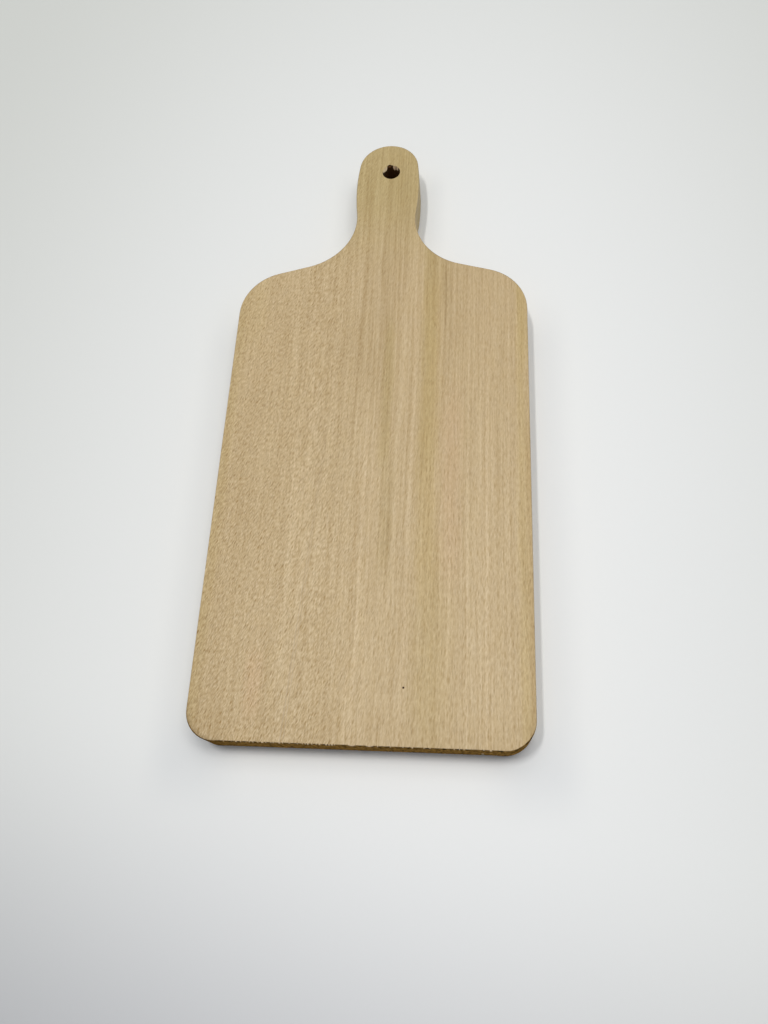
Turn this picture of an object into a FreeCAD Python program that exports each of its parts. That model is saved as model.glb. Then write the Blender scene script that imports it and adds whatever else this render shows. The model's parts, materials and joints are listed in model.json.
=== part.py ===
# Paddle-shaped bread and cutting board: one plank of beech with a rounded handle, cut to
# outline, its edges eased, and drilled through the handle to hang it by.
#
# Frame: millimetres, +Z up. The board lies flat on its underside. The origin is on that
# underside, midway along the board and on its centre line. +Y runs with the grain, from
# the front edge to the end of the handle.
import FreeCAD, Part

import enum
import itertools
import math
import os

import Sketcher

# Driving dimensions, in millimetres and degrees: name, value, meaning.
SIZES = (
    ("board_width", 160.0, "across the two straight sides"),
    ("board_thickness", 18.0, "underside to cutting face"),
    ("body_length", 254.8, "front edge to the sharp corner of side and shoulder"),
    ("handle_length", 99.2, "that corner to the end of the handle, along the board"),
    ("front_corner_radius", 14.0, "rounding of the two front corners"),
    ("shoulder_slope", 15.0, "rise of each shoulder towards the handle, in degrees"),
    ("shoulder_radius", 27.4, "rounding between a side and its shoulder"),
    ("neck_width", 34.3, "the handle at its narrowest"),
    ("neck_radius", 34.4, "hollow between a shoulder and the handle"),
    ("handle_side_radius", 141.0, "long bulge of each side of the handle"),
    ("handle_end_radius", 17.5, "round end of the handle"),
    ("hole_diameter", 10.5, "hanging hole"),
    ("hole_end_distance", 21.0, "end of the handle to the centre of the hole"),
    ("hole_side_offset", 1.5, "centre of the hole to the right of the centre line"),
    ("edge_ease_radius", 0.6, "sanded rounding of the outer edges, above and below"),
)

# The expression for half the board's whole length, which several dimensions read.
HALF_LENGTH = "(Sizes.body_length + Sizes.handle_length) / 2"

# The curves of the half outline that run tangent one into the next.
TANGENT_CHAIN = ("front", "corner", "side", "shoulder", "slope", "neck", "bulge", "tip")


class Place(enum.IntEnum):
    """Sketcher's numbers for the points of a curve and for the sketch's own axes."""

    START = 1
    END = 2
    CENTRE = 3
    X_AXIS = -1
    Y_AXIS = -2


# The sketch's origin is the first point of its X axis.
ORIGIN = (Place.X_AXIS, Place.START)


def add_sizes_sheet(doc):
    """Write the driving dimensions into the document's spreadsheet."""
    sheet = doc.addObject("Spreadsheet::Sheet", "Sizes")
    for row, (name, value, meaning) in enumerate(SIZES, start=1):
        sheet.set(f"A{row}", name)
        sheet.set(f"B{row}", str(value))
        sheet.set(f"C{row}", meaning)
        sheet.setAlias(f"B{row}", name)
    doc.recompute()
    return sheet


def origin_plane(body, role):
    """Return the body's own origin plane that has this role, such as XY_Plane."""
    return next(plane for plane in body.Origin.OriginFeatures if plane.Role == role)


def add_sketch(body, name):
    """Add a sketch that lies in the plane of the board's underside."""
    sketch = body.newObject("Sketcher::SketchObject", name)
    sketch.AttachmentSupport = [(origin_plane(body, "XY_Plane"), "")]
    sketch.MapMode = "FlatFace"
    return sketch


def add_dimension(sketch, name, expression, kind, *where):
    """Add a named dimension to a sketch and bind it to the sheet."""
    value = sketch.evalExpression(expression)
    if kind == "Angle":
        value = math.radians(value)
    index = sketch.addConstraint(Sketcher.Constraint(kind, *where, value))
    sketch.renameConstraint(index, name)
    sketch.setExpression(f"Constraints.{name}", expression)


def arc(centre, radius, start_point, end_point):
    """Return the arc that runs counter-clockwise between two points of its circle."""
    start, end = (math.atan2(p.y - centre.y, p.x - centre.x) for p in (start_point, end_point))
    circle = Part.Circle(centre, FreeCAD.Vector(0, 0, 1), radius)
    return Part.ArcOfCircle(circle, start, end)


def toward(centre, target, distance):
    """Return the point at a distance from a centre, in the direction of a target."""
    return centre + (target - centre).normalize() * distance


def circle_crossing(first, first_radius, second, second_radius):
    """Return where two circles cross, on the left of the way from first to second."""
    line = second - first
    span = line.Length
    along = (first_radius**2 - second_radius**2 + span**2) / (2 * span)
    aside = math.sqrt(first_radius**2 - along**2)
    line.normalize()
    return first + line * along + FreeCAD.Vector(-line.y, line.x, 0) * aside


def half_outline(sheet):
    """Return the curves of the right half of the outline, by name, in order.

    From the middle of the front edge they run counter-clockwise to the end of the handle,
    each tangent to the next, and the spine closes them along the centre line.
    """
    point = FreeCAD.Vector
    half_width = sheet.board_width / 2
    front_y = -(sheet.body_length + sheet.handle_length) / 2
    sharp_corner = point(half_width, front_y + sheet.body_length)
    slope = math.radians(sheet.shoulder_slope)
    uphill = point(-math.cos(slope), math.sin(slope))
    outward = point(math.sin(slope), math.cos(slope))

    corner_centre = point(
        half_width - sheet.front_corner_radius, front_y + sheet.front_corner_radius
    )
    corner_start = point(corner_centre.x, front_y)
    corner_end = point(half_width, corner_centre.y)

    setback = sheet.shoulder_radius * math.tan((math.pi / 2 - slope) / 2)
    shoulder_centre = point(half_width - sheet.shoulder_radius, sharp_corner.y - setback)
    side_end = point(half_width, shoulder_centre.y)
    slope_start = shoulder_centre + outward * sheet.shoulder_radius

    neck_x = sheet.neck_width / 2 + sheet.neck_radius
    run = (half_width - neck_x + sheet.neck_radius * outward.x) / -uphill.x
    slope_end = sharp_corner + uphill * run
    neck_centre = slope_end + outward * sheet.neck_radius

    end_centre = point(0, -front_y - sheet.handle_end_radius)
    side_centre = circle_crossing(
        neck_centre, sheet.neck_radius + sheet.handle_side_radius,
        end_centre, sheet.handle_side_radius - sheet.handle_end_radius,
    )
    neck_end = toward(neck_centre, side_centre, sheet.neck_radius)
    bulge_end = toward(side_centre, end_centre, sheet.handle_side_radius)
    handle_tip = point(0, -front_y)
    front_middle = point(0, front_y)

    return {
        "front": Part.LineSegment(front_middle, corner_start),
        "corner": arc(corner_centre, sheet.front_corner_radius, corner_start, corner_end),
        "side": Part.LineSegment(corner_end, side_end),
        "shoulder": arc(shoulder_centre, sheet.shoulder_radius, side_end, slope_start),
        "slope": Part.LineSegment(slope_start, slope_end),
        "neck": arc(neck_centre, sheet.neck_radius, neck_end, slope_end),
        "bulge": arc(side_centre, sheet.handle_side_radius, neck_end, bulge_end),
        "tip": arc(end_centre, sheet.handle_end_radius, bulge_end, handle_tip),
        "spine": Part.LineSegment(handle_tip, front_middle),
        "sharp_corner": Part.Point(sharp_corner),
    }


def draw_outline(body, sheet):
    """Draw the right half of the board's outline, fully constrained to the sheet."""
    sketch = add_sketch(body, "HalfOutline")
    curves = half_outline(sheet)
    number = {name: sketch.addGeometry(curve, False) for name, curve in curves.items()}
    sketch.setConstruction(number["sharp_corner"], True)
    front, side, slope, neck, tip, spine, sharp_corner = (
        number[name] for name in ("front", "side", "slope", "neck", "tip", "spine", "sharp_corner")
    )

    # Each curve runs on tangent into the next. The neck is hollow, so it runs backwards.
    for name, next_name in itertools.pairwise(TANGENT_CHAIN):
        leaves = Place.START if name == "neck" else Place.END
        enters = Place.END if next_name == "neck" else Place.START
        sketch.addConstraint(
            Sketcher.Constraint("Tangent", number[name], leaves, number[next_name], enters)
        )

    for constraint in (
        ("Coincident", tip, Place.END, spine, Place.START),
        ("Coincident", spine, Place.END, front, Place.START),
        ("PointOnObject", spine, Place.START, Place.Y_AXIS),
        ("PointOnObject", spine, Place.END, Place.Y_AXIS),
        ("PointOnObject", tip, Place.CENTRE, Place.Y_AXIS),
        ("PointOnObject", sharp_corner, Place.START, side),
        ("PointOnObject", sharp_corner, Place.START, slope),
        ("Horizontal", front),
        ("Vertical", side),
    ):
        sketch.addConstraint(Sketcher.Constraint(*constraint))

    for name, expression, kind, *where in (
        ("half_width", "Sizes.board_width / 2", "DistanceX", *ORIGIN, side, Place.END),
        ("front_reach", HALF_LENGTH, "DistanceY", spine, Place.END, *ORIGIN),
        ("tip_reach", HALF_LENGTH, "DistanceY", *ORIGIN, spine, Place.START),
        ("body_length", "Sizes.body_length",
         "DistanceY", spine, Place.END, sharp_corner, Place.START),
        ("slope_direction", "180 - Sizes.shoulder_slope", "Angle", slope),
        ("neck_centre", "Sizes.neck_width / 2 + Sizes.neck_radius",
         "DistanceX", *ORIGIN, neck, Place.CENTRE),
        ("corner_radius", "Sizes.front_corner_radius", "Radius", number["corner"]),
        ("shoulder_radius", "Sizes.shoulder_radius", "Radius", number["shoulder"]),
        ("neck_radius", "Sizes.neck_radius", "Radius", neck),
        ("bulge_radius", "Sizes.handle_side_radius", "Radius", number["bulge"]),
        ("tip_radius", "Sizes.handle_end_radius", "Radius", tip),
    ):
        add_dimension(sketch, name, expression, kind, *where)
    return sketch


def draw_hole(body, sheet):
    """Draw the hanging hole, off the centre line as it was drilled."""
    sketch = add_sketch(body, "HangingHoleCircle")
    half_length = (sheet.body_length + sheet.handle_length) / 2
    centre = FreeCAD.Vector(sheet.hole_side_offset, half_length - sheet.hole_end_distance)
    circle = sketch.addGeometry(
        Part.Circle(centre, FreeCAD.Vector(0, 0, 1), sheet.hole_diameter / 2), False
    )
    add_dimension(sketch, "diameter", "Sizes.hole_diameter", "Diameter", circle)
    add_dimension(sketch, "side_offset", "Sizes.hole_side_offset",
                  "DistanceX", *ORIGIN, circle, Place.CENTRE)
    add_dimension(sketch, "reach", f"{HALF_LENGTH} - Sizes.hole_end_distance",
                  "DistanceY", *ORIGIN, circle, Place.CENTRE)
    return sketch


def flat_faces(shape):
    """Return the names of the shape's two faces that lie level: underside and top."""
    return [
        f"Face{number}"
        for number, face in enumerate(shape.Faces, start=1)
        if abs(face.normalAt(0, 0).z) > 0.999
    ]


def build_board(doc, sheet):
    """Build the board: half a plank, mirrored, its edges eased, and the hole drilled."""
    body = doc.addObject("PartDesign::Body", "Board")
    body.Label = "board"

    half_plank = body.newObject("PartDesign::Pad", "HalfPlank")
    half_plank.Profile = draw_outline(body, sheet)
    half_plank.setExpression("Length", "Sizes.board_thickness")
    doc.recompute()

    plank = body.newObject("PartDesign::Mirrored", "Plank")
    plank.Originals = [half_plank]
    plank.MirrorPlane = (origin_plane(body, "YZ_Plane"), [""])
    body.Tip = plank
    doc.recompute()

    eased = body.newObject("PartDesign::Fillet", "EasedEdges")
    eased.Base = (plank, flat_faces(plank.Shape))
    eased.setExpression("Radius", "Sizes.edge_ease_radius")
    doc.recompute()

    hole = body.newObject("PartDesign::Pocket", "HangingHole")
    hole.Profile = draw_hole(body, sheet)
    hole.Type = "ThroughAll"
    hole.Reversed = True
    doc.recompute()
    return body


def check_model(doc, body):
    """Stop if a feature failed, a sketch is loose or the board isn't one sound solid."""
    for item in doc.Objects:
        if {"Invalid", "Error"} & set(item.State):
            raise RuntimeError(f"{item.Label} failed: {item.State}")
        if item.isDerivedFrom("Sketcher::SketchObject") and not item.FullyConstrained:
            raise RuntimeError(f"{item.Label} is not fully constrained")
    shape = body.Shape
    if shape.isNull() or not shape.isValid() or len(shape.Solids) != 1:
        raise RuntimeError(f"{body.Label} is not one valid solid")


def check_hole(doc, sheet):
    """Stop unless the hole took out exactly a cylinder through the whole thickness."""
    removed = doc.EasedEdges.Shape.Volume - doc.HangingHole.Shape.Volume
    cylinder = math.pi * (sheet.hole_diameter / 2) ** 2 * sheet.board_thickness
    if abs(removed - cylinder) > cylinder / 1000:
        raise RuntimeError(f"the hole removed {removed:.1f} mm3, not {cylinder:.1f} mm3")


def main():
    """Build the document, check it and write the board's STEP file."""
    doc = FreeCAD.newDocument("BreadBoard")
    sheet = add_sizes_sheet(doc)
    board = build_board(doc, sheet)
    check_model(doc, board)
    check_hole(doc, sheet)
    os.makedirs("parts", exist_ok=True)
    board.Shape.exportStep(f"parts/{board.Label}.step")
    box = board.Shape.optimalBoundingBox(True, False)
    print(f"{board.Label}: {box.XLength:.2f} x {box.YLength:.2f} x {box.ZLength:.2f} mm, "
          f"{board.Shape.Volume / 1000:.1f} cm3, {len(board.Shape.Faces)} faces")


main()
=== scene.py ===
"""Bread board cut from one plank of beech, lying face up on a pale table.

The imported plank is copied, merged and worked on as a bench piece: the front
end gets its saw marks and torn arris, the hanging hole its broken fibres and
the cutting face its pin knot. One solid beech finish then runs through the
whole plank, so the face, the edges and the end grain agree with each other.
Lengths named in the classes are in millimetres; Blender works in metres.
"""
import json
import logging
import math
import random
from collections.abc import Callable, Iterator, Sequence
from contextlib import contextmanager
from dataclasses import dataclass, replace
from enum import Enum
from functools import cache, reduce

import bmesh
import bpy
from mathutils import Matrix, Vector


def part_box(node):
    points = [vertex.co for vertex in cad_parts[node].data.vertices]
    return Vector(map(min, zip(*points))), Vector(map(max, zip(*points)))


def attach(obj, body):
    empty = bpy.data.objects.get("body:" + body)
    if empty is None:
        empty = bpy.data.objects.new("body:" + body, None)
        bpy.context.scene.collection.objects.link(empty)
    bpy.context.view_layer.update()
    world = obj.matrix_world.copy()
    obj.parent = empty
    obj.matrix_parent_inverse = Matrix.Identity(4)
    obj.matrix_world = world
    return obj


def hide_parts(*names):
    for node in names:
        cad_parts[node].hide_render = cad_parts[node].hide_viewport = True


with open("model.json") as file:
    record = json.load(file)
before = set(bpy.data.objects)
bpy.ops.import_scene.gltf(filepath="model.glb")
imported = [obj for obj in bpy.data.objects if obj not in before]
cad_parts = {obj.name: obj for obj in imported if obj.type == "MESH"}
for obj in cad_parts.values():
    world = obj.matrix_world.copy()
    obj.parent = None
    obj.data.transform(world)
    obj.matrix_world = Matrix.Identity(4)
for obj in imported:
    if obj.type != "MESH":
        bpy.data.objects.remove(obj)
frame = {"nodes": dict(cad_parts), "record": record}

LOG = logging.getLogger("bread_board")
MM = 0.001
# places closer together than this, in metres, are the same place
SAME = 0.001 * MM

Socket = bpy.types.NodeSocket
Feed = Socket | float | tuple[float, ...]
Colour = tuple[float, float, float]
Place = tuple[float, float, float]
# stretches across the plank as (from, to), in metres
Spans = list[tuple[float, float]]


class Element(Enum):
    """What an edit-mode tool works on."""

    VERT = "verts"
    EDGE = "edges"
    FACE = "faces"


class Follow(Enum):
    """Which way a band of colour runs through the thickness of the plank."""

    RINGS = "rings"
    RAYS = "rays"


class Tint(Enum):
    """Colours that a band of wood is multiplied by."""

    PALE = (1.075, 1.085, 1.12)
    SHADE = (0.93, 0.922, 0.90)
    DARK = (0.80, 0.77, 0.70)
    OLIVE = (0.905, 0.896, 0.79)
    HONEY = (0.965, 0.955, 0.84)
    ROSE = (1.035, 0.985, 0.995)
    DULL = (0.885, 0.90, 0.755)
    AMBER = (0.885, 0.85, 0.745)
    SALLOW = (1.0, 0.978, 0.88)


# -------------------------------------------------- workbench


def clear_bench() -> None:
    """Leave edit mode and deselect everything."""
    active = bpy.context.view_layer.objects.active
    if active is not None and active.mode != "OBJECT":
        bpy.ops.object.mode_set(mode="OBJECT")
    bpy.ops.object.select_all(action="DESELECT")


class Workpiece:
    """One mesh object and the hand tools that are used on it."""

    def __init__(self, item: bpy.types.Object) -> None:
        """Take a mesh object to the bench."""
        self.item = item

    @classmethod
    def copied(cls, source: bpy.types.Object, name: str) -> "Workpiece":
        """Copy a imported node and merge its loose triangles.

        Args:
            source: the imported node, which is left as it is.
            name: the new piece's name.

        Returns:
            The merged copy, with flat regions joined into single faces.
        """
        item = bpy.data.objects.new(name, source.data.copy())
        item.data.name = name
        bpy.context.scene.collection.objects.link(item)
        piece = cls(item)
        with piece.at_work():
            bpy.ops.mesh.select_all(action="SELECT")
            bpy.ops.mesh.customdata_custom_splitnormals_clear()
            bpy.ops.mesh.remove_doubles(threshold=SAME)
            bpy.ops.mesh.dissolve_limited(angle_limit=math.radians(0.05))
            bpy.ops.mesh.tris_convert_to_quads()
        return piece

    def take(self) -> None:
        """Select this piece alone, in object mode."""
        clear_bench()
        self.item.select_set(True)
        bpy.context.view_layer.objects.active = self.item

    @contextmanager
    def at_work(self) -> Iterator[None]:
        """Open edit mode on this piece alone."""
        self.take()
        bpy.ops.object.mode_set(mode="EDIT")
        try:
            yield
        finally:
            bpy.ops.object.mode_set(mode="OBJECT")

    def pick(self, element: Element, wanted: Callable[..., bool]) -> int:
        """Select the elements that a rule wants, and nothing else.

        Args:
            element: vertices, edges or faces.
            wanted: the rule, given one bmesh element at a time.

        Returns:
            How many elements are selected.
        """
        bpy.ops.mesh.select_mode(type=element.name)
        bpy.ops.mesh.select_all(action="DESELECT")
        net = bmesh.from_edit_mesh(self.item.data)
        chosen = [part for part in getattr(net, element.value) if wanted(part)]
        for part in chosen:
            part.select_set(True)
        net.select_flush_mode()
        bmesh.update_edit_mesh(self.item.data)
        return len(chosen)

    def combine(self, tool: bpy.types.Object, operation: str) -> None:
        """Join or cut this piece with another shape, which is used up.

        Args:
            tool: the closed shape to join or to cut away.
            operation: UNION or DIFFERENCE.
        """
        self.take()
        modifier = self.item.modifiers.new(operation.lower(), "BOOLEAN")
        modifier.operation = operation
        modifier.object = tool
        modifier.solver = "EXACT"
        modifier.use_self = operation == "UNION"
        bpy.ops.object.modifier_apply(modifier=modifier.name)
        bpy.data.objects.remove(tool)

    def smooth(self, angle: float) -> None:
        """Shade soft below an angle, flat faces keeping their own normal.

        Args:
            angle: the sharpest edge, in degrees, that is still shaded soft.
        """
        self.take()
        bpy.ops.object.shade_smooth_by_angle(angle=math.radians(angle))
        modifier = self.item.modifiers.new("weighted", "WEIGHTED_NORMAL")
        modifier.keep_sharp = True
        bpy.ops.object.modifier_apply(modifier=modifier.name)


# -------------------------------------------------- shader bench


# for NodeBench.ease: where a move starts and ends, and the values there, 0 and 1 if left out;
# for NodeBench.window: where the rise and the fall start and end
Steps = tuple[float, ...]
# the inputs that tell a shader node group where a point is
PLACE = ("Across", "Along", "Depth")


@dataclass(frozen=True)
class Layer:
    """A layer of noise.

    size is how long its blobs are on each axis, in millimetres; gain is how
    strongly it counts; detail and rough are the Noise node's own.
    """

    size: tuple[Feed, Feed, Feed]
    gain: Feed = 1.0
    detail: float = 2.0
    rough: float = 0.5


class NodeBench:
    """Adds nodes to one shader tree and wires them up."""

    def __init__(self, tree: bpy.types.NodeTree) -> None:
        """Work on one tree, a material's or a group's."""
        self.tree = tree

    def add(self, kind: str, feeds: dict[int | str, Feed], **settings: object) -> bpy.types.Node:
        """Add a node.

        Args:
            kind: the node type without its ShaderNode prefix.
            feeds: what its inputs are given, by name or number.
            **settings: properties to set on it first.

        Returns:
            The node.
        """
        node = self.tree.nodes.new("ShaderNode" + kind)
        for name, value in settings.items():
            setattr(node, name, value)
        for name, value in feeds.items():
            self.feed(node.inputs[name], value)
        return node

    def feed(self, socket: Socket, value: Feed) -> None:
        """Link a socket to another, or set it to a plain value.

        Args:
            socket: the input.
            value: what it is given. A colour is made opaque.
        """
        if isinstance(value, bpy.types.NodeSocket):
            self.tree.links.new(value, socket)
        elif socket.type == "RGBA":
            socket.default_value = (*value, 1.0)
        else:
            socket.default_value = value

    def sums(self, operation: str, *values: Feed, clamp: bool = False) -> Socket:
        """Do one Math node's work, keeping the result within 0 and 1 if it is clamped."""
        return self.add("Math", dict(enumerate(values)), operation=operation, use_clamp=clamp).outputs[0]

    def times(self, *values: Feed) -> Feed:
        """Multiply values."""
        return reduce(lambda one, two: self.sums("MULTIPLY", one, two), values)

    def minus(self, first: Feed, second: Feed) -> Socket:
        """Take the second value from the first."""
        return self.sums("SUBTRACT", first, second)

    def plus(self, base: Feed, value: Feed, gain: Feed = 1.0, clamp: bool = False) -> Socket:
        """Add a value, times its gain, to a base."""
        return self.sums("MULTIPLY_ADD", value, gain, base, clamp=clamp)

    def vector(self, *parts: Feed) -> Socket:
        """Put three numbers together into a vector."""
        return self.add("CombineXYZ", dict(enumerate(parts))).outputs[0]

    def split(self, vector: Socket) -> tuple[Socket, ...]:
        """Take a vector apart into its three numbers."""
        return tuple(self.add("SeparateXYZ", {0: vector}).outputs)

    def scaled(self, place: Sequence[Feed], size: Sequence[Feed]) -> list[Socket]:
        """Measure a place in blobs or cells of a size."""
        return [self.sums("DIVIDE", part, length) for part, length in zip(place, size)]

    def noise(self, place: Sequence[Feed], layer: Layer) -> Socket:
        """Read a layer of noise.

        Args:
            place: where it is read, on the three axes of the layer's size.
            layer: the noise.

        Returns:
            A value about 0.5, within 0 and 1.
        """
        steps = self.vector(*self.scaled(place, layer.size))
        feeds = {"Vector": steps, "Scale": 1.0, "Detail": layer.detail, "Roughness": layer.rough}
        return self.add("TexNoise", feeds, noise_dimensions="3D").outputs[0]

    def vary(self, base: Feed, place: Sequence[Feed], layer: Layer) -> Socket:
        """Add a layer of noise to a base, evenly above and below it."""
        return self.plus(base, self.minus(self.noise(place, layer), 0.5), layer.gain)

    def ease(self, value: Feed, *steps: Feed) -> Socket:
        """Move smoothly from one value to another, between two places."""
        feeds = dict(zip(("Value", "From Min", "From Max", "To Min", "To Max"), (value, *steps)))
        return self.add("MapRange", feeds, interpolation_type="SMOOTHSTEP").outputs[0]

    def window(self, value: Feed, *steps: Feed) -> Feed:
        """Rise from 0 to 1 between two places, and fall back between two more."""
        return self.times(self.ease(value, *steps[:2]), self.ease(value, *steps[2:], 1.0, 0.0))

    def length(self, *parts: Feed) -> Socket:
        """The length of a step, given along each axis."""
        return self.sums("SQRT", reduce(self.plus, [self.times(part, part) for part in parts]))

    def shift(self, base: Colour, change: Colour, amount: Socket) -> Socket:
        """Move a colour by a change, times an amount."""
        feeds = {0: change, 1: self.vector(amount, amount, amount), 2: base}
        return self.add("VectorMath", feeds, operation="MULTIPLY_ADD").outputs[0]

    def blend(self, share: Feed, first: Feed, second: Feed, how: str = "MIX") -> Socket:
        """Mix a share of the second colour into the first, or multiply by it."""
        feeds = {0: share, 6: first, 7: second}
        return self.add("Mix", feeds, data_type="RGBA", blend_type=how, clamp_factor=True).outputs[2]

    def shade(self, feeds: dict[str, Feed]) -> None:
        """Finish a material with one Principled shader."""
        shader = self.add("BsdfPrincipled", feeds)
        self.add("OutputMaterial", {"Surface": shader.outputs[0]})

    def use(self, group: bpy.types.NodeTree, feeds: dict[str, Feed]) -> Socket:
        """Place a group and give its first output."""
        return self.add("Group", feeds, node_tree=group).outputs[0]


def new_material(name: str) -> tuple[bpy.types.Material, NodeBench]:
    """Start an empty material.

    Args:
        name: its name.

    Returns:
        The material, and a bench on its cleared tree.
    """
    material = bpy.data.materials.new(name)
    material.use_nodes = True
    material.node_tree.nodes.clear()
    return material, NodeBench(material.node_tree)


class Effect:
    """A shader node group under construction."""

    def __init__(self, name: str, inputs: Sequence[str]) -> None:
        """Start a group.

        Args:
            name: the group's name.
            inputs: its number inputs, in order.
        """
        self.tree = bpy.data.node_groups.new(name, "ShaderNodeTree")
        for label in inputs:
            self.tree.interface.new_socket(label, in_out="INPUT", socket_type="NodeSocketFloat")
        self.tree.interface.new_socket("Mask", in_out="OUTPUT", socket_type="NodeSocketFloat")
        self.bench = NodeBench(self.tree)
        self.inputs = self.tree.nodes.new("NodeGroupInput").outputs

    def close(self, result: Socket) -> bpy.types.NodeTree:
        """Wire the result to the output and hand the group over."""
        self.tree.links.new(result, self.tree.nodes.new("NodeGroupOutput").inputs[0])
        return self.tree


@cache
def streak_group() -> bpy.types.NodeTree:
    """A long band: full at its centre line, fading at its sides and ends.

    Returns:
        The group.
    """
    effect = Effect("Streak", ("Across", "Along", "Centre", "Half Width", "Start", "End", "Fade"))
    bench, put = effect.bench, effect.inputs
    away = bench.sums("ABSOLUTE", bench.minus(put["Across"], put["Centre"]))
    side = bench.ease(bench.sums("DIVIDE", away, put["Half Width"]), 0.25, 1.6, 1.0, 0.0)
    rise = bench.ease(bench.minus(put["Along"], put["Start"]), 0.0, put["Fade"])
    fall = bench.ease(bench.minus(put["End"], put["Along"]), 0.0, put["Fade"])
    return effect.close(bench.times(side, rise, fall))


@cache
def fleck_group() -> bpy.types.NodeTree:
    """Lens-shaped flecks scattered over a plank, where its rays are cut.

    Returns:
        The group.
    """
    labels = ("Cell Width", "Cell Length", "Half Width", "Half Length", "Lean")
    effect = Effect("Ray flecks", (*PLACE, *labels))
    bench, put = effect.bench, effect.inputs
    sizes = (put["Cell Width"], put["Cell Length"], 9.0)
    place = bench.scaled([put[label] for label in PLACE], sizes)
    feeds = {"Vector": bench.vector(*place), "Scale": 1.0}
    cells = bench.add("TexVoronoi", feeds, voronoi_dimensions="3D", feature="F1")
    seed = bench.split(cells.outputs["Position"])
    off = [bench.minus(here, there) for here, there in zip(place, seed)]
    along = bench.times(off[1], put["Cell Length"])
    across = bench.minus(bench.times(off[0], put["Cell Width"]), bench.times(along, put["Lean"]))
    plan = bench.scaled((across, along), (put["Half Width"], put["Half Length"]))
    reach = bench.length(*plan, bench.times(off[2], 2.2))
    return effect.close(bench.ease(reach, 0.35, 1.15, 1.0, 0.0))


@cache
def ripple_group() -> bpy.types.NodeTree:
    """Short slanting ripples, where rays run out of the planed face.

    Returns:
        The group.
    """
    effect = Effect("Ripple", (*PLACE, "Width", "Length", "Lean"))
    bench, put = effect.bench, effect.inputs
    across, along, depth = (put[label] for label in PLACE)
    swing = bench.noise((across, along, depth), Layer((3.0, 3.6, 9.0), detail=1.0))
    slid = bench.plus(bench.minus(across, bench.times(along, put["Lean"])), swing, 1.6)
    return effect.close(bench.noise((slid, along, depth), Layer((put["Width"], put["Length"], 6.0))))


@cache
def speckle_group() -> bpy.types.NodeTree:
    """Fine uneven specks of one size.

    Returns:
        The group.
    """
    effect = Effect("Speckle", (*PLACE, "Size"))
    put = effect.inputs
    place = [put[label] for label in PLACE]
    return effect.close(effect.bench.noise(place, Layer((put["Size"],) * 3, detail=3.0, rough=0.65)))


# -------------------------------------------------- finishes


@dataclass(frozen=True)
class Streak:
    """A band of colour along the plank.

    across, half_width, start and end are on the cutting face: from the
    middle line, and from the front end, in millimetres.
    """

    tint: Tint
    across: float
    half_width: float
    start: float = -40.0
    end: float = 400.0
    fade: float = 30.0
    strength: float = 1.0
    follow: Follow = Follow.RINGS

    def lie(self, pith_across: float, face: float) -> tuple[float, float]:
        """Find the band in the coordinate that it follows.

        Args:
            pith_across: the pith's place across the plank.
            face: the cutting face's height above the pith.

        Returns:
            The band's centre and half width.
        """
        centre = self.across - pith_across
        if self.follow is Follow.RAYS:
            return centre, self.half_width
        radius = math.hypot(centre, face)
        return radius, self.half_width * centre / radius


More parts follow.
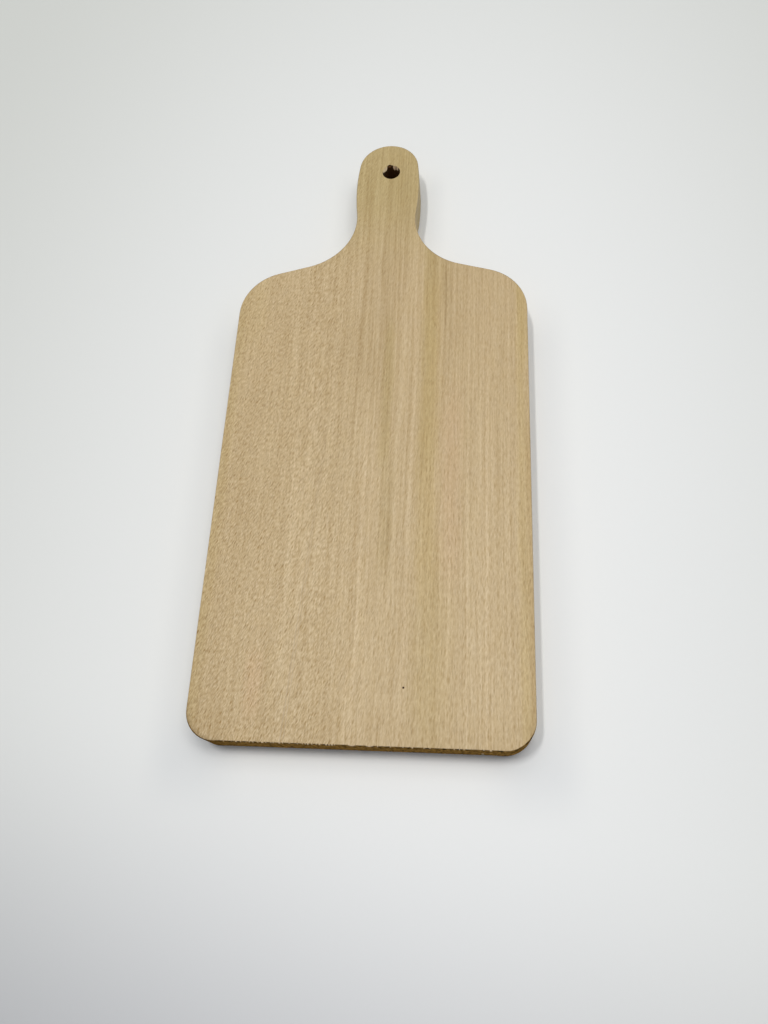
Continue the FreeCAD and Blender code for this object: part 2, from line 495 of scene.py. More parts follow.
STREAKS: tuple[Streak, ...] = (
    # growth lines that catch the light
    Streak(Tint.PALE, -3.2, 0.8, end=190.0, fade=50.0),
    Streak(Tint.PALE, -6.2, 0.6, end=185.0, fade=50.0, strength=0.8),
    Streak(Tint.PALE, -11.0, 0.5, 40.0, 150.0, 40.0, 0.35),
    Streak(Tint.PALE, -36.0, 4.0, 60.0, 300.0, 60.0, 0.35),
    Streak(Tint.PALE, -51.0, 3.6, -20.0, 125.0, 30.0, 0.5, Follow.RAYS),
    Streak(Tint.PALE, -61.0, 8.0, 172.0, 232.0, 22.0, 0.5, Follow.RAYS),
    Streak(Tint.PALE, 1.0, 0.5, end=160.0, fade=40.0, strength=0.8),
    Streak(Tint.PALE, 13.5, 0.4, 90.0, 250.0, strength=0.5),
    Streak(Tint.PALE, 19.8, 0.8, strength=0.7),
    Streak(Tint.PALE, 32.0, 0.5, strength=0.6),
    Streak(Tint.PALE, 40.3, 0.5, strength=0.7),
    Streak(Tint.PALE, 49.0, 0.5, strength=0.8),
    Streak(Tint.PALE, 58.7, 0.5, strength=0.7),
    Streak(Tint.PALE, 57.5, 4.4, -40.0, 270.0, 40.0, 0.5),
    Streak(Tint.PALE, 69.3, 0.45, strength=0.7),
    Streak(Tint.PALE, 74.0, 0.45, strength=0.7),
    # the quieter middle of the far half
    Streak(Tint.SHADE, -14.0, 7.0, 165.0, 262.0, 45.0, 0.55),
    Streak(Tint.SHADE, -2.0, 6.0, 165.0, 300.0, 40.0, 0.7),
    Streak(Tint.SHADE, 4.5, 3.0, 140.0, 310.0, 30.0, 0.45),
    Streak(Tint.SHADE, 9.0, 3.6, 72.0, 155.0, 28.0, 1.0),
    Streak(Tint.SHADE, 16.0, 5.0, 60.0, 125.0, 25.0, 0.4),
    Streak(Tint.SHADE, -19.0, 12.0, 95.0, 195.0, 45.0, 0.45),
    Streak(Tint.SHADE, 44.0, 4.0, 60.0, 160.0, 40.0, 0.4),
    Streak(Tint.SHADE, -69.0, 7.0, -40.0, 32.0, 18.0, 0.5, Follow.RAYS),
    Streak(Tint.SHADE, 37.5, 3.5, 170.0, 300.0, 50.0, 0.6),
    Streak(Tint.SHADE, 12.0, 3.6, 225.0, 370.0, 60.0, 0.45),
    # mineral streaks
    Streak(Tint.OLIVE, 30.5, 7.0, 225.0, 300.0, 30.0, 0.62),
    Streak(Tint.OLIVE, 27.4, 4.4, 105.0, 262.0, 50.0, 1.0),
    Streak(Tint.OLIVE, 27.2, 3.4, 190.0, 400.0, 60.0, 0.6),
    Streak(Tint.HONEY, 36.0, 7.0, -30.0, 110.0, 50.0, 0.35),
    Streak(Tint.OLIVE, 30.0, 6.5, -30.0, 150.0, 60.0, 0.6),
    Streak(Tint.OLIVE, 5.8, 2.8, 128.0, 238.0, 22.0, 1.0),
    Streak(Tint.OLIVE, 8.4, 3.2, 70.0, 152.0, 25.0, 0.55),
    Streak(Tint.SALLOW, 28.8, 4.8, 55.0, 275.0, 40.0, 0.75),
    Streak(Tint.DARK, 35.8, 0.35, 219.0, 264.0, 8.0, 0.85),
    # the outside of the plank has turned duller and yellower
    Streak(Tint.HONEY, -79.5, 4.5, strength=0.75, follow=Follow.RAYS),
    Streak(Tint.HONEY, -70.0, 6.0, 190.0, 300.0, 40.0, 0.45, Follow.RAYS),
    Streak(Tint.SHADE, -78.2, 2.2, strength=0.6, follow=Follow.RAYS),
    Streak(Tint.SHADE, -77.0, 6.0, -40.0, 75.0, 35.0, 0.5, Follow.RAYS),
    Streak(Tint.HONEY, 79.0, 4.0, 185.0, 320.0, 30.0, 0.8, Follow.RAYS),
    Streak(Tint.HONEY, 76.0, 2.4, strength=0.85, follow=Follow.RAYS),
    Streak(Tint.AMBER, 79.4, 1.6, -40.0, 190.0, 40.0, 0.9, Follow.RAYS),
    Streak(Tint.SHADE, 77.5, 3.5, -40.0, 22.0, 12.0, 0.7, Follow.RAYS),
    # faint warm patches
    Streak(Tint.ROSE, -50.0, 4.0, 5.0, 48.0, 15.0, 0.8, Follow.RAYS),
    Streak(Tint.ROSE, 40.5, 5.5, 60.0, 200.0, 40.0, 0.7),
)


class Grain:
    """What a shaded point finds in the plank, as sockets of one shader tree.

    Lengths are in millimetres: along is from the front end, depth from the
    cutting face, radius from the pith, and ray across from the pith, brought
    up to the cutting face along its ray.
    """

    PITH_ACROSS = -60.0
    PITH_BELOW = 150.0
    BOW = Layer((55.0, 130.0, 70.0), 2.4)
    WAVE = Layer((5.0, 26.0, 6.0), 0.9)
    MARKS = Layer((1.6, 3.0, 5.0), rough=0.65)
    LEFT: Steps = (25.0, 95.0, 1.0, 0.0)
    LEAN: Steps = (15.0, 110.0, 0.34, 0.02)
    HANDLE: Steps = (250.0, 325.0)
    DARK = {"Cell Width": 0.95, "Cell Length": 3.3, "Half Width": 0.23, "Half Length": 1.55}
    SLANT = {"Width": 0.55, "Length": 1.8, "Lean": 0.33}
    UPRIGHT = {"Width": 0.66, "Length": 2.4, "Lean": 0.09}
    BOLD = {"Cell Width": 1.9, "Cell Length": 3.9}
    BOLD_LENGTH: Steps = (30.0, 80.0, 1.5, 2.3)

    def __init__(self, bench: NodeBench, board: "BreadBoard") -> None:
        """Wire up the point's place, and the patterns there.

        Args:
            bench: the material's bench.
            board: the piece, for the places of its features.
        """
        self.bench, self.board = bench, board
        seat = bench.add("TexCoord", {})
        self.here = tuple(bench.times(part, 1.0 / MM) for part in bench.split(seat.outputs["Object"]))
        self.x, self.y, self.z = self.here
        self.along = bench.minus(self.y, board.front)
        self.depth = bench.minus(board.top, self.z)
        # where it lies in the log, whose fibres wander a little
        run = bench.vary(bench.vary(self.x, self.here, self.WAVE), self.here, self.BOW)
        run = bench.minus(run, self.PITH_ACROSS)
        rise = bench.plus(self.z, self.PITH_BELOW)
        self.radius = bench.sums("SQRT", bench.plus(bench.times(run, run), rise, rise))
        self.face = self.PITH_BELOW + board.top
        self.ray = bench.sums("DIVIDE", bench.times(run, self.face), rise)
        self.rings = (self.ray, self.y, self.radius)
        # steep is 0 on level faces and 1 on upright ones; endways is 1 where they look along the plank
        turned = bench.split(seat.outputs["Normal"])
        slope = bench.minus(1.0, bench.times(turned[2], turned[2]))
        self.steep = bench.sums("SQRT", bench.sums("MAXIMUM", slope, 0.0001))
        self.endways = bench.sums("DIVIDE", bench.sums("ABSOLUTE", turned[1]), self.steep)
        self.torn = bench.add("Attribute", {}, attribute_name=board.TORN).outputs["Fac"]
        self.whole = bench.sums("SUBTRACT", 1.0, self.torn, clamp=True)
        self.left = bench.ease(self.ray, *self.LEFT)
        self.handle = bench.ease(self.along, *self.HANDLE)
        self.marks = bench.noise(self.here, self.MARKS)
        self._cut_rays()
        self._saw_ends()
        self.colour: Feed = (1.0, 1.0, 1.0)

    def _cut_rays(self) -> None:
        """Wire up the flecks, ripples and specks, which lean on the left of the plank."""
        bench = self.bench
        where = dict(zip(PLACE, self.rings))
        self.fuzz = bench.use(speckle_group(), {**where, "Across": bench.times(self.ray, 2.2), "Size": 1.1})
        lean = bench.ease(self.ray, *self.LEAN)
        self.dark = bench.use(fleck_group(), {**where, **self.DARK, "Lean": lean})
        slant = bench.use(ripple_group(), {**where, **self.SLANT})
        # read far aside, so that the two ripples differ
        slid = bench.plus(self.ray, 173.0)
        upright = bench.use(ripple_group(), {**where, **self.UPRIGHT, "Across": slid})
        slant = bench.times(bench.minus(slant, 0.5), self.left)
        self.ripple = bench.plus(slant, bench.minus(upright, 0.5), bench.plus(0.75, self.left, -0.75))
        # bolder flecks, each between two pale flanks; short on the left, drawn out towards the right
        length = bench.ease(self.ray, *self.BOLD_LENGTH)
        bold = {**where, **self.BOLD, "Lean": bench.times(lean, 1.25), "Half Length": length}
        core, flank = (bench.use(fleck_group(), {**bold, "Half Width": width}) for width in (0.55, 1.4))
        self.carve = bench.plus(bench.times(core, -0.32), bench.minus(flank, core), 0.12)
        # they are calmer in the far half and right of the left edge, and on the sides
        calm = bench.ease(self.along, 40.0, 250.0, 1.0, bench.ease(self.ray, 20.0, 60.0, 0.88, 0.62))
        self.calm = bench.times(calm, bench.ease(self.steep, 0.5, 0.95, 1.0, 0.35))

    def _saw_ends(self) -> None:
        """Find the end grain, which reaches round the corners near the front end."""
        bench, endways = self.bench, self.endways
        self.burnt = bench.ease(self.along, 8.0, 20.0, 1.0, 0.0)
        corner = bench.times(self.burnt, 0.25)
        facing = bench.ease(endways, bench.minus(0.40, corner), bench.minus(0.85, corner))
        low = bench.ease(endways, 0.85, 0.99, 0.06, 0.35)
        high = bench.ease(endways, 0.85, 0.99, 0.28, 0.7)
        self.sawn = bench.times(facing, bench.ease(self.steep, low, high), self.whole)

    def cover(self, share: Feed, colour: Feed) -> None:
        """Mix a colour in over the wood's."""
        self.colour = self.bench.blend(share, self.colour, colour)

    def tint(self, share: Feed, colour: Feed) -> None:
        """Multiply the wood's colour by another."""
        self.colour = self.bench.blend(share, self.colour, colour, "MULTIPLY")


@dataclass(frozen=True)
class BeechFinish:
    """Planed, unoiled beech, the same wood all the way through the plank.

    The gains for growth lines, ripples and flecks change with the ray.
    """

    ground: Colour = (0.519, 0.3835, 0.2095)
    sway: Colour = (0.425, 0.397, 0.313)
    drift: Colour = (0.016, -0.012, -0.11)
    fleck: Colour = (0.60, 0.555, 0.465)
    front_end: Colour = (0.222, 0.124, 0.032)
    cross_cut: Colour = (0.37, 0.25, 0.125)
    torn: Colour = (0.47, 0.36, 0.235)
    # painted shade on the upper arris: darker and bluer at the ends and the handle, fainter on the sides
    arris_shade_ends: Colour = (0.79, 0.82, 0.95)
    arris_shade_sides: Colour = (0.93, 0.96, 1.10)
    # darkens the face just inside the left front corner
    corner_dark: Colour = (0.74, 0.72, 0.67)
    # near-black brown of the hole's wall, also used for the painted shade on its right fibres
    hole_dark: Colour = (0.15, 0.07, 0.028)
    knot: Colour = (0.07, 0.035, 0.02)
    lines: Layer = Layer((0.78, 190.0, 1.0), detail=3.0, rough=0.6)
    lines_gain: Steps = (100.0, 125.0, 0.44, 0.50)
    fine: Layer = Layer((1.05, 60.0, 9.0), rough=0.6)
    bands: Layer = Layer((4.5, 300.0, 1.0), 0.08, detail=1.0)
    broad: Layer = Layer((45.0, 70.0, 40.0), 0.04, detail=1.0)
    hue: Layer = Layer((3.6, 9.0, 6.0), rough=0.6)
    rag: Layer = Layer((1.2, 30.0, 2.0))
    raggedness: float = 1.1
    ripple_gain: Steps = (35.0, 110.0, 1.36, 0.9)
    carve_gain: Steps = (30.0, 80.0, 0.72, 0.5)
    fuzz_gain: float = 0.18
    torn_share: float = 0.7
    # share of the painted shade on the hole's right torn fibres
    fibre_shade_share: float = 0.62
    painted_light_gain: float = 0.085
    # gain of the painted light that makes the face paler towards the front and the right
    duller: float = -0.06
    roughness: float = 0.62
    specular: float = 0.35
    bump_strength: float = 0.6
    bump_depth: float = 0.06

    def make(self, board: "BreadBoard") -> bpy.types.Material:
        """Build the material.

        Args:
            board: the piece it goes on, for the places of its features.

        Returns:
            The material.
        """
        material, bench = new_material("planed_beech")
        grain = Grain(bench, board)
        for step in (self._plane, self._streak, self._saw, self._arris_shade_and_corner, self._darken_hole_and_knot):
            step(grain)
        # flecks lie a little low and shine a little more
        rough = bench.plus(self.roughness, grain.dark, -0.08)
        rough = bench.plus(rough, bench.minus(grain.fuzz, 0.5), 0.18)
        height = bench.plus(bench.times(grain.fuzz, 0.5), grain.dark, -0.45)
        bump = bench.add("Bump", {
            "Strength": self.bump_strength,
            "Distance": self.bump_depth * MM,
            "Height": bench.plus(height, bench.times(grain.marks, grain.sawn), 1.2),
        })
        bench.shade({
            "Base Color": grain.colour,
            "Roughness": bench.plus(rough, grain.sawn, 0.2, clamp=True),
            "Specular IOR Level": bench.plus(self.specular, grain.sawn, -self.specular),
            "Normal": bump.outputs[0],
        })
        return material

    def _plane(self, grain: Grain) -> None:
        """Colour the planed wood: growth lines, ripples and flecks.

        Args:
            grain: the shaded point.
        """
        bench = grain.bench
        # growth rings cut by the face: fine straight lines, clearer on the right
        gain = bench.plus(bench.ease(grain.ray, *self.lines_gain), grain.handle, -0.09)
        tone = bench.vary(0.0, (grain.radius, grain.y, 3.0), replace(self.lines, gain=gain))
        middle = bench.times(grain.left, bench.plus(4.0, grain.left, -4.0))
        tone = bench.vary(tone, grain.rings, replace(self.fine, gain=bench.plus(0.45, middle, 0.20)))
        tone = bench.vary(tone, (grain.radius, grain.y, 9.0), self.bands)
        tone = bench.vary(tone, grain.here, self.broad)
        # rays cut by the face, fainter on the handle
        tone = bench.plus(tone, bench.minus(grain.fuzz, 0.5), bench.times(grain.calm, self.fuzz_gain))
        for pattern, steps in ((grain.ripple, self.ripple_gain), (grain.carve, self.carve_gain)):
            gain = bench.plus(bench.ease(grain.ray, *steps), grain.handle, -0.1)
            tone = bench.plus(tone, bench.times(pattern, grain.calm), gain)
        # painted light: paler towards the front and the right; duller along the front end
        pale = bench.ease(grain.along, 70.0, 240.0, 1.0, 0.0)
        pale = bench.times(pale, bench.ease(grain.x, -74.0, -32.0, 0.35, 1.0))
        tone = bench.plus(tone, pale, self.painted_light_gain)
        tone = bench.plus(tone, bench.ease(grain.along, 5.0, 20.0, 1.0, 0.0), self.duller)
        dark = bench.times(grain.dark, grain.calm, bench.plus(0.42, grain.left, 0.20))
        grain.colour = bench.shift(self.ground, self.sway, tone)
        grain.tint(dark, self.fleck)
        # the hue drifts a little between warm and olive
        grain.tint(1.0, bench.shift((1.0, 1.0, 1.0), self.drift, bench.vary(0.0, grain.rings, self.hue)))

    def _streak(self, grain: Grain) -> None:
        """Lay the streaks over the wood, each with a ragged side, and dull the handle.

        Args:
            grain: the shaded point.
        """
        bench = grain.bench
        rag = bench.vary(0.0, grain.here, self.rag)
        reach = {Follow.RAYS: grain.ray, Follow.RINGS: grain.radius}
        for streak in STREAKS:
            centre, width = streak.lie(grain.PITH_ACROSS, grain.face)
            mask = bench.use(streak_group(), {
                "Across": bench.plus(reach[streak.follow], rag, self.raggedness * width),
                "Along": grain.along,
                "Centre": centre,
                "Half Width": width,
                "Start": streak.start,
                "End": streak.end,
                "Fade": streak.fade,
            })
            grain.tint(bench.times(mask, streak.strength), streak.tint.value)
        grain.tint(grain.handle, Tint.DULL.value)

    def _saw(self, grain: Grain) -> None:
        """Brown the end grain, with its marks standing up and down, and bare torn fibres.

        Args:
            grain: the shaded point.
        """
        bench = grain.bench
        tone = bench.ease(grain.depth, 0.5, 5.0, 0.84, 1.05)
        tone = bench.plus(tone, bench.minus(grain.marks, 0.5), bench.plus(0.7, grain.burnt, 2.9))
        brown = {0: bench.blend(grain.burnt, self.cross_cut, self.front_end), "Scale": tone}
        grain.cover(grain.sawn, bench.add("VectorMath", brown, operation="SCALE").outputs[0])
        grain.cover(bench.times(grain.torn, self.torn_share), self.torn)

    def _arris_shade_and_corner(self, grain: Grain) -> None:
        """Paint shade on the upper arris, most at the ends; darken the left front corner.

        Args:
            grain: the shaded point.
        """
        bench, board = grain.bench, grain.board
        # painted shade on the rounded upper arris, darker at the ends and round the handle
        arris = bench.times(bench.ease(grain.steep, 0.1, 0.55), bench.ease(grain.depth, 0.5, 0.75, 1.0, 0.0))
        ends = bench.sums("MAXIMUM", bench.ease(grain.endways, 0.2, 0.7), grain.handle)
        grain.tint(bench.times(arris, grain.whole), bench.blend(ends, self.arris_shade_sides, self.arris_shade_ends))
        # darken the face just inside the left front corner
        aside = bench.minus(grain.x, board.corner_across)
        ahead = bench.minus(grain.y, board.corner_along)
        out = bench.minus(bench.length(aside, ahead), board.corner_radius)
        sides = [bench.ease(side, -2.0, 6.0, 1.0, 0.0) for side in (aside, ahead)]
        grain.tint(bench.times(bench.ease(out, -3.0, -0.2), *sides), self.corner_dark)

    def _darken_hole_and_knot(self, grain: Grain) -> None:
        """Darken the hole's wall below its clean lip, and darken the pin knot.

        Args:
            grain: the shaded point.
        """
        bench, board = grain.bench, grain.board
        aside = bench.minus(grain.x, board.hole_across)
        away = bench.length(aside, bench.minus(grain.y, board.hole_along))
        out = bench.minus(away, board.hole_radius)
        # the hole's wall is darkened to a near-black brown below its lip
        below = bench.ease(bench.plus(grain.depth, grain.marks, 0.6), 0.45, 1.0)
        spared = bench.plus(1.0, grain.torn, -0.8)
        grain.cover(bench.times(bench.ease(out, 0.8, 1.0, 1.0, 0.0), below, spared), self.hole_dark)
        # painted shade on the torn fibres on the right of the hole
        fibre_shade = bench.times(bench.ease(aside, 0.2, 1.0), bench.ease(out, -0.1, 0.0, 1.0, 0.0))
        grain.cover(bench.times(fibre_shade, grain.torn, self.fibre_shade_share), self.hole_dark)
        away = bench.length(bench.minus(grain.x, board.knot_across), bench.minus(grain.y, board.knot_along))
        spot = bench.ease(bench.plus(away, grain.fuzz, 0.3), 0.45, 0.8, 1.0, 0.0)
        grain.cover(bench.times(spot, bench.ease(grain.depth, 1.0, 3.0, 1.0, 0.0)), self.knot)


@dataclass(frozen=True)
class TableFinish:
    """A smooth white table top with a painted pool of light, dimmer away from its lit middle.

    It carries painted shade along the sides of the plank and its handle, and a
    painted shadow nearer the front. Places are from the plank's middle, in millimetres.
    """

    # lit and dull paint a pool of light: bright in the middle, dimmer away from it
    lit: Colour = (0.895, 0.905, 0.908)
    dull: Colour = (0.628, 0.641, 0.614)
    # near is a painted shadow over the table nearer the front
    near: Colour = (0.50, 0.50, 0.545)
    # painted shade on the table along the plank's sides and its handle
    side_shade: Colour = (0.905, 0.912, 0.925)
    middle: tuple[float, float] = (29.0, -99.0)
    reach: tuple[float, float] = (330.0, 620.0)
    fully_dull: float = 1.28
    shadow_slant: float = 0.22
    shadow_along: Steps = (174.0, 424.0, 329.0, 599.0)
    shadow_across: Steps = (240.0, 560.0, 1.0, 0.0)
    # where the painted shade along the sides and round the handle lies
    body_across: Steps = (50.0, 78.0, 88.0, 108.0)
    body_along: Steps = (-212.0, -180.0, 40.0, 85.0)
    handle_shade_across: Steps = (24.0, 37.0, 1.0, 0.0)
    handle_shade_along: Steps = (98.0, 122.0, 155.0, 179.0)
    roughness: float = 0.75
    specular: float = 0.2

    def make(self) -> bpy.types.Material:
        """Build the material.

        Returns:
            The material.
        """
        material, bench = new_material("pale_table")
        seat = bench.add("TexCoord", {})
        x, y, z = (bench.times(part, 1.0 / MM) for part in bench.split(seat.outputs["Object"]))
        across = bench.sums("ABSOLUTE", x)
        speck = bench.use(speckle_group(), {**dict(zip(PLACE, (x, y, z))), "Size": 2.5})
        # painted pool of light: the table is painted dimmer with distance from its middle
        steps = [bench.minus(part, middle) for part, middle in zip((x, y), self.middle)]
        away = bench.length(*bench.scaled(steps, self.reach))
        share = bench.plus(bench.ease(away, 0.0, self.fully_dull), bench.minus(speck, 0.5), 0.03)
        colour = bench.blend(share, self.lit, self.dull)
        # painted shadow: the table is darkened nearer the front
        near = bench.window(bench.times(bench.plus(y, x, self.shadow_slant), -1.0), *self.shadow_along)
        near = bench.times(near, bench.ease(across, *self.shadow_across))
        colour = bench.blend(near, colour, self.near, "MULTIPLY")
        # painted shade on the table along the plank's sides and round its handle
        body = bench.times(bench.window(across, *self.body_across), bench.window(y, *self.body_along))
        handle = bench.times(bench.ease(across, *self.handle_shade_across), bench.window(y, *self.handle_shade_along))
        colour = bench.blend(bench.sums("MAXIMUM", body, handle), colour, self.side_shade, "MULTIPLY")
        bench.shade({
            "Base Color": colour,
            "Roughness": bench.plus(self.roughness, speck, 0.1),
            "Specular IOR Level": self.specular,
        })
        return material


# -------------------------------------------------- the board


@dataclass
class FrontEnd:
    """The sawn front end of the plank and its torn upper arris.

    The faces there are cut into saw columns, with rows below the arris. The
    saw set a column back by the recess, or a few steps more. A zone of the
    arris is (its right end as a share, how widely the teeth are spaced, the
    rows that they reach down to).
    """

    piece: Workpiece
    low: Vector
    high: Vector
    columns: int = 66
    splits: int = 6
    ease: float = 0.6
    rows: tuple[float, ...] = (17.15, 16.8, 16.3, 15.8)
    recess: float = 0.12
    steps: int = 5
    margin: float = 4.0
    indent: float = 5.0
    hair: float = 0.02
    widths: tuple[float, ...] = (0.2, 0.35, 0.35, 0.35, 0.7)
    spread: tuple[float, float] = (0.3, 2.2)
    zones: tuple[tuple[float, float, tuple[int, ...]], ...] = (
        (0.42, 1.1, (0, 0, 0, 1, 1, 2)),
        (0.62, 2.6, (0, 0, 0, 1)),
        (1.0, 5.0, (0, 0, 0, 1)),
    )
    seed: int = 11

    def __post_init__(self) -> None:
        """Find how far back the end's own vertices lie."""
        self.band = self.low.y + (self.ease + 0.01) * MM
        self.dice = random.Random(self.seed)

    def build(self) -> Spans:
        """Cut the saw marks and tear the arris.

        Returns:
            The torn places along the arris.
        """

        def lengthways(edge: bmesh.types.BMEdge) -> bool:
            """Pick the end's long level edges."""
            one, two = (vert.co for vert in edge.verts)
            level = abs(one.z - two.z) < SAME
            return level and max(one.y, two.y) < self.band and abs(one.x - two.x) > 2.0 * MM

        def upright(face: bmesh.types.BMFace) -> bool:
            """Pick the end's upright faces."""
            return face.normal.y < -0.99 and face.calc_center_median().y < self.band

        with self.piece.at_work():
            for parts in (self.columns, self.splits):
                self.piece.pick(Element.EDGE, lengthways)
                bpy.ops.mesh.subdivide(number_cuts=parts - 1)
            for row in self.rows:
                self.piece.pick(Element.FACE, upright)
                bpy.ops.mesh.bisect(plane_co=(0.0, 0.0, row * MM), plane_no=(0.0, 0.0, 1.0))
        front = self.low.y + SAME
        sides = sorted({round(v.co.x, 6) for v in self.piece.item.data.vertices if v.co.y < front})
        self._recess(sides)
        return self._tear(sides[0], sides[-1])

    def _recess(self, sides: list[float]) -> None:
        """Set each column back by the saw, less near the corners.

        Args:
            sides: where the columns meet, in metres.
        """
        depth: dict[float, int] = {}
        for side in sides[1:-1]:
            inward = min(side - sides[0], sides[-1] - side) / (self.margin * MM)
            depth[side] = round(min(1.0, inward) * (self.steps + self.dice.choice((0, 0, 1, 2, 3))))
        with self.piece.at_work():
            for level in sorted(set(depth.values()) - {0}):
                self.piece.pick(
                    Element.VERT, lambda v: v.co.y < self.band and depth.get(round(v.co.x, 6)) == level
                )
                bpy.ops.transform.translate(value=(0.0, self.recess / self.steps * level * MM, 0.0))

    def _tear(self, first: float, last: float) -> Spans:
        """Leave torn fibres standing along the arris.

        Args:
            first: the end's left side, in metres.
            last: its right side.

        Returns:
            The torn places.
        """
        torn: Spans = []
        feet = (self.high.z / MM - self.ease, *self.rows)
        front = self.low.y + self.hair * MM
        back = self.band + 0.5 * MM
        place = first + self.indent * MM
        with self.piece.at_work():
            while place < last - self.margin * MM:
                where = (place - first) / (last - first)
                gap, lengths = next(zone[1:] for zone in self.zones if where < zone[0])
                stop = place + self.dice.choice(self.widths) * MM
                foot = (feet[self.dice.choice(lengths)] - self.hair) * MM
                torn.append((place, stop))
                if self.piece.pick(
                    Element.VERT, lambda v: v.co.y < back and place <= v.co.x <= stop and v.co.z > foot
                ):
                    bpy.ops.transform.resize(value=(1.0, 0.0, 1.0), center_override=(0.0, front, 0.0))
                place = stop + self.dice.uniform(*self.spread) * gap * MM
        return torn


@dataclass
class HoleFibres:
    """Fibres that the drill left standing across the hanging hole.

    Each one is (across, tip along, width, thickness, drop), in millimetres
    from the hole's axis; the tip lies towards the front end. It tapers in
    steps of (place along it, width left, share of the drop). The scoop is
    (across, along, radius). centre, radius and top are the hole's axis, its
    radius and the cutting face's height, in metres.
    """

    centre: Vector
    radius: float
    top: float
    fibres: tuple[tuple[float, float, float, float, float], ...] = (
        (-4.80, -0.60, 0.55, 0.6, 0.05),
        (-4.35, -0.10, 0.55, 0.8, 0.05),
        (-3.90, 0.30, 0.55, 0.8, 0.10),
        (-3.45, 0.65, 0.55, 0.8, 0.10),
        (-3.05, 1.15, 0.50, 0.7, 0.15),
        (-2.80, 2.00, 0.35, 0.6, 0.15),
        (1.05, 3.10, 0.40, 0.5, 0.50),
        (1.45, 2.20, 0.45, 0.6, 0.40),
        (1.90, 1.60, 0.45, 0.5, 0.55),
        (2.28, 1.70, 0.36, 0.6, 0.40),
        (3.08, 1.80, 0.36, 0.5, 0.55),
        (3.45, 1.60, 0.45, 0.6, 0.35),
        (3.88, 1.00, 0.42, 0.5, 0.50),
    )
    root: float = 0.8
    sink: float = 0.03
    stagger: float = 0.02
    scoop: Place = (-1.05, 4.2, 1.6)
    taper: tuple[Place, ...] = ((-0.05, 0.95, 0.1), (-0.25, 0.85, 0.35), (-0.45, 0.35, 0.55))

    def build(self) -> bpy.types.Object:
        """Shape the fibres and join them.

        Returns:
            One object with every fibre in it.
        """
        made = []
        for number, (across, tip, width, thick, drop) in enumerate(self.fibres):
            reach = math.sqrt((self.radius / MM) ** 2 - across**2) + self.root
            length = reach - tip
            sunk = self.sink + self.stagger * (number % 3) + thick / 2
            along = self.centre.y + (reach + tip) / 2 * MM
            spot = (self.centre.x + across * MM, along, self.top - sunk * MM)
            clear_bench()
            bpy.ops.mesh.primitive_cube_add(size=1.0, location=spot)
            item = bpy.context.active_object
            item.scale = (width * MM, length * MM, thick * MM)
            bpy.ops.object.transform_apply(location=True, rotation=False, scale=True)
            made.append(item)
            upper = (spot[0], along, spot[2] + thick / 2 * MM)
            fibre = Workpiece(item)
            with fibre.at_work():
                fibre.pick(Element.EDGE, lambda e: abs(e.verts[0].co.y - e.verts[1].co.y) > length / 2 * MM)
                bpy.ops.mesh.subdivide(number_cuts=4)
                for share, narrow, sag in self.taper:
                    line = along + share * length * MM
                    fibre.pick(Element.VERT, lambda v: v.co.y < line)
                    bpy.ops.transform.translate(value=(0.0, 0.0, -sag * drop * MM))
                    bpy.ops.transform.resize(value=(narrow, 1.0, narrow), center_override=upper)
        clear_bench()
        for item in made:
            item.select_set(True)
        bpy.context.view_layer.objects.active = made[0]
        bpy.ops.object.join()
        return made[0]

    def scoop_cutter(self) -> bpy.types.Object:
        """A ball that takes out the splinter missing from the hole's far lip.

        Returns:
            The ball.
        """
        across, along, radius = (part * MM for part in self.scoop)
        place = (self.centre.x + across, self.centre.y + along, self.top)
        clear_bench()
        bpy.ops.mesh.primitive_uv_sphere_add(segments=24, ring_count=14, radius=radius, location=place)
        return bpy.context.active_object


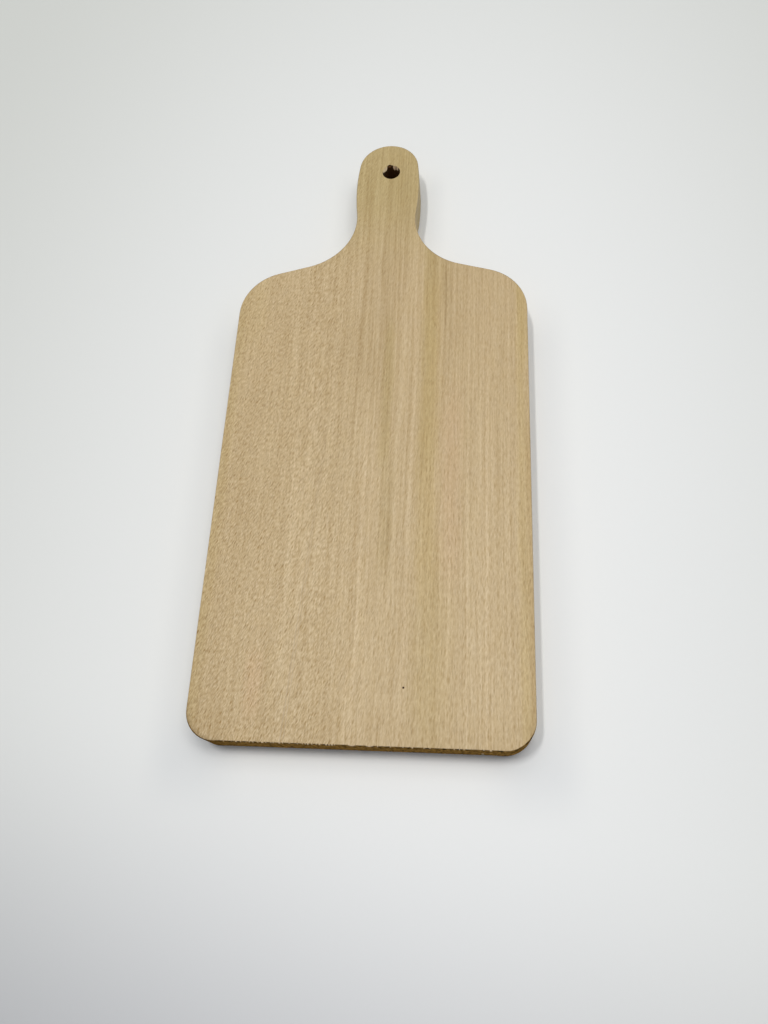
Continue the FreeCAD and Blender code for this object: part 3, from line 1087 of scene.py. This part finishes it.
@dataclass
class BreadBoard:
    """The whole board: one plank, its handle and its hanging hole."""

    TORN = "torn_fibre"

    name: str = "bread_board"
    knot_across: float = 20.2
    knot_from_front: float = 26.6
    knot_radius: float = 0.5
    knot_depth: float = 0.45
    corner_radius: float = 14.0
    soft_below: float = 35.0
    wall_gap: float = 0.03
    fibre_reach: float = 4.0
    tooth_depth: float = 0.05
    tooth_reach: float = 1.6

    def __post_init__(self) -> None:
        """Read the plank's place from the frame."""
        self.low, self.high = (Vector(corner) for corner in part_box("board"))
        bore = next(mount for mount in frame["record"]["mounts"] if mount["name"] == "hanging_hole")
        self.hole_across, self.hole_along = (part / MM for part in bore["pos_m"][:2])
        self.hole_radius = bore["dims"]["r_mm"]
        self.top = self.high.z / MM
        self.front = self.low.y / MM
        self.knot_along = self.front + self.knot_from_front
        self.corner_across = self.low.x / MM + self.corner_radius
        self.corner_along = self.front + self.corner_radius

    def build(self) -> bpy.types.Object:
        """Model the board.

        Returns:
            The finished mesh object.
        """
        piece = Workpiece.copied(frame["nodes"]["board"], self.name)
        torn = FrontEnd(piece, self.low, self.high).build()
        LOG.info("front end: %d torn places", len(torn))
        centre = Vector((self.hole_across, self.hole_along, 0.0)) * MM
        fibres = HoleFibres(centre, self.hole_radius * MM, self.high.z)
        piece.combine(fibres.scoop_cutter(), "DIFFERENCE")
        piece.combine(fibres.build(), "UNION")
        piece.combine(self._knot_cutter(), "DIFFERENCE")
        self._mark_torn(piece.item, torn, centre)
        piece.smooth(self.soft_below)
        return piece.item

    def _knot_cutter(self) -> bpy.types.Object:
        """A small ball that leaves the pin knot's dimple.

        Returns:
            The ball.
        """
        ball = (self.knot_radius**2 + self.knot_depth**2) / (2 * self.knot_depth)
        place = (self.knot_across * MM, self.knot_along * MM, (self.top - self.knot_depth + ball) * MM)
        clear_bench()
        bpy.ops.mesh.primitive_uv_sphere_add(segments=20, ring_count=12, radius=ball * MM, location=place)
        return bpy.context.active_object

    def _mark_torn(self, item: bpy.types.Object, torn: Spans, centre: Vector) -> None:
        """Note on each vertex whether it belongs to a torn fibre.

        Args:
            item: the board.
            torn: the torn places along the front arris.
            centre: the hanging hole's axis, in metres.
        """
        layer = item.data.attributes.new(self.TORN, "FLOAT", "POINT")
        inside = (self.hole_radius - self.wall_gap) * MM
        front = self.low.y + self.tooth_depth * MM
        for vert in item.data.vertices:
            aside = vert.co.xy - centre.xy
            down = self.high.z - vert.co.z
            fibre = aside.length < inside and down < self.fibre_reach * MM
            tooth = vert.co.y < front and down < self.tooth_reach * MM
            arris = tooth and any(start <= vert.co.x <= stop for start, stop in torn)
            layer.data[vert.index].value = 1.0 if fibre or arris else 0.0

    def dress(self, item: bpy.types.Object) -> None:
        """Give the board its finish.

        Args:
            item: the finished mesh object.
        """
        item.data.materials.clear()
        item.data.materials.append(BeechFinish().make(self))


# -------------------------------------------------- table and studio


@dataclass
class Table:
    """The plain table top that the board lies on, a hair below the plank.

    The hair, 0.05 mm, keeps the two level faces out of one plane.
    """

    span: float = 8.0
    hair: float = 0.05

    def build(self) -> bpy.types.Object:
        """Lay the table top.

        Returns:
            The table top, with its finish.
        """
        clear_bench()
        bpy.ops.mesh.primitive_plane_add(size=self.span, location=(0.0, 0.0, -self.hair * MM))
        bpy.ops.object.transform_apply(location=True, rotation=False, scale=False)
        item = bpy.context.active_object
        item.name = "table_top"
        item.data.materials.append(TableFinish().make())
        return item


@dataclass(frozen=True)
class Lamp:
    """A soft panel hung level, facing straight down."""

    name: str
    place: Place
    size: tuple[float, float]
    power: float
    colour: Colour = (1.0136, 0.997, 0.957)

    def hang(self) -> None:
        """Hang the lamp."""
        clear_bench()
        bpy.ops.object.light_add(type="AREA", location=self.place)
        item = bpy.context.active_object
        item.name = self.name
        item.data.shape = "RECTANGLE"
        item.data.size, item.data.size_y = self.size
        item.data.energy = self.power
        item.data.color = self.colour


@dataclass
class Studio:
    """Soft overhead light and the camera."""

    lamps: tuple[Lamp, ...] = (
        Lamp("wide_panel", (0.86, 0.61, 4.0), (2.36, 1.08), 54.0),
        Lamp("narrow_panel", (-0.94, 0.32, 4.0), (0.24, 0.84), 50.0),
        Lamp("rear_panel", (0.20, 1.84, 4.0), (4.8, 1.68), 32.5),
    )
    sky: Colour = (0.925, 0.975, 1.06)
    sky_strength: float = 0.28
    backdrop_strength: float = 0.85
    camera_place: Place = (0.04904, -0.2205, 0.39692)
    camera_turn: Place = (22.598, 5.185, 2.662)
    lens: float = 29.18
    sensor: float = 36.0

    def build(self) -> None:
        """Light the scene and set the camera."""
        scene = bpy.context.scene
        world = bpy.data.worlds.new("soft_sky")
        world.use_nodes = True
        bench = NodeBench(world.node_tree)
        sky = world.node_tree.nodes["Background"]
        bench.feed(sky.inputs["Color"], self.sky)
        path = bench.add("LightPath", {})
        seen = bench.sums("MAXIMUM", path.outputs["Is Camera Ray"], path.outputs["Is Glossy Ray"])
        seen = bench.sums("MAXIMUM", seen, path.outputs["Is Transmission Ray"])
        strength = bench.plus(self.sky_strength, seen, self.backdrop_strength - self.sky_strength)
        bench.feed(sky.inputs["Strength"], strength)
        scene.world = world
        for lamp in self.lamps:
            lamp.hang()
        clear_bench()
        bpy.ops.object.camera_add(
            location=self.camera_place, rotation=[math.radians(turn) for turn in self.camera_turn]
        )
        camera = bpy.context.active_object
        camera.data.lens = self.lens
        camera.data.sensor_width = self.sensor
        camera.data.clip_start = 0.01
        scene.camera = camera
        scene.view_settings.view_transform = "Standard"


def main() -> None:
    """Build the board, the table and the studio."""
    logging.basicConfig(level=logging.INFO, format="%(message)s")
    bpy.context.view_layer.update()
    board = BreadBoard()
    plank = board.build()
    board.dress(plank)
    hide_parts("board")
    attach(plank, "root")
    LOG.info("%s: %d faces", plank.name, len(plank.data.polygons))

    table = Table().build()
    Studio().build()


if __name__ == "__main__":
    main()
